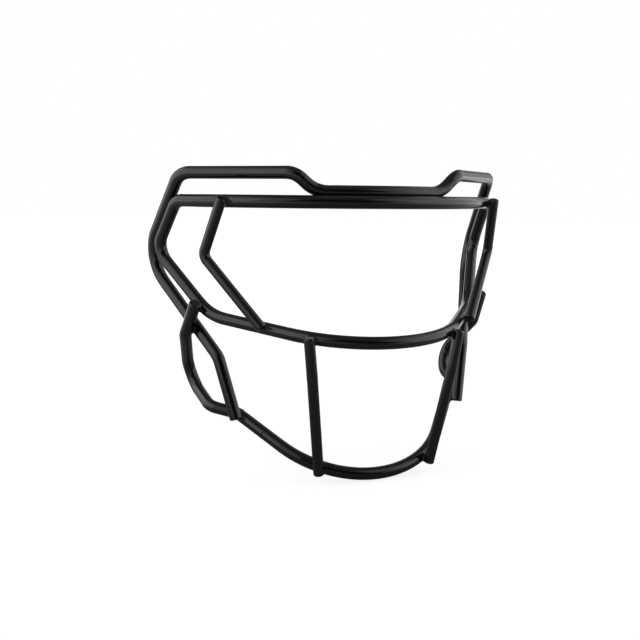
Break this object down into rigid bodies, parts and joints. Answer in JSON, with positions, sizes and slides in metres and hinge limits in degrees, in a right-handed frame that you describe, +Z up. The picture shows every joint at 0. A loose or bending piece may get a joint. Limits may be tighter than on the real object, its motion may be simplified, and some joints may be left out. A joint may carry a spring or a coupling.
{
  "type": "football helmet facemask",
  "caption": "Cage of bent round wire that guards a football player's face: closed eye loop, brow loop, eye posts, lower bars, chin wire and jaw loops, welded and coated gloss black.",
  "frame": {"origin": "underside of the chin wire, on the middle plane, in the middle of the depth", "axes": "+X to the wearer's left, the mask faces -Y, +Z up as worn"},
  "size_m": [0.2194, 0.1111, 0.1721],
  "materials": {
    "wire_coat": "gloss black powder coat",
    "weld_coat": "gloss black powder coat, thinner over the weld beads"
  },
  "bodies": {
    "root": {"brow_loop": "wire_coat", "eye_loop": "wire_coat", "chin_wire": "wire_coat", "left_jaw_wire": "wire_coat", "right_jaw_wire": "wire_coat", "left_eye_post": "wire_coat", "right_eye_post": "wire_coat", "left_lower_bar": "wire_coat", "right_lower_bar": "wire_coat", "left_brow_mid_weld": "weld_coat", "right_brow_mid_weld": "weld_coat", "left_brow_side_weld": "weld_coat", "right_brow_side_weld": "weld_coat", "left_post_head_weld": "weld_coat", "right_post_head_weld": "weld_coat", "left_post_foot_weld": "weld_coat", "right_post_foot_weld": "weld_coat", "left_bar_head_weld": "weld_coat", "right_bar_head_weld": "weld_coat", "left_bar_foot_weld": "weld_coat", "right_bar_foot_weld": "weld_coat", "left_jaw_head_weld": "weld_coat", "right_jaw_head_weld": "weld_coat", "left_jaw_cross_weld": "weld_coat", "right_jaw_cross_weld": "weld_coat", "left_brow_foot_weld": "weld_coat", "right_brow_foot_weld": "weld_coat"}
  },
  "joints": []
}
